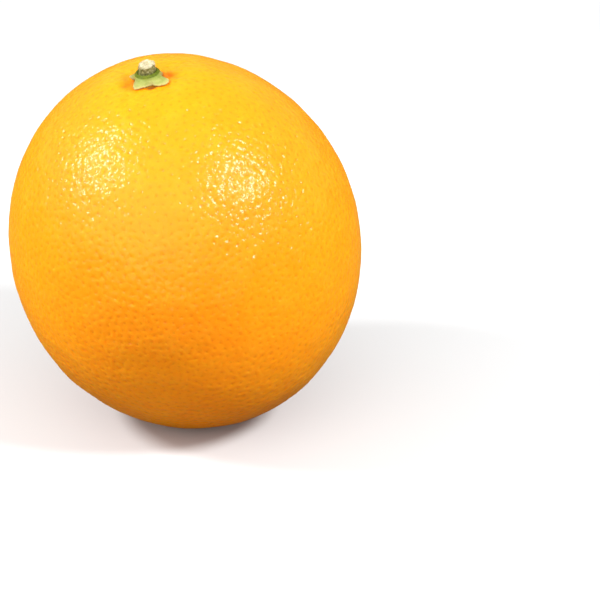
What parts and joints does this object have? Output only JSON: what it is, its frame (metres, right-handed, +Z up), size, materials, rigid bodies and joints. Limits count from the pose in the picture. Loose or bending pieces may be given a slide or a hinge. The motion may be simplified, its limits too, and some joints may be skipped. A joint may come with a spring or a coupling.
{
  "type": "orange",
  "caption": "Whole ripe orange, slightly oblong, with its green calyx and a short woody stub of stalk, resting on a small flat spot.",
  "frame": {"origin": "on the surface that the fruit rests on, under the middle of its outline", "axes": "+Z up; the stem end leans 12 degrees from +Z, towards -X and a little towards -Y"},
  "size_m": [0.0784, 0.0784, 0.0869],
  "materials": {
    "peel": "satin",
    "calyx_green": "matte",
    "stub_wood": "matte"
  },
  "bodies": {
    "root": {"orange_fruit": "peel", "calyx": "calyx_green", "stem_stub": "stub_wood"}
  },
  "joints": []
}
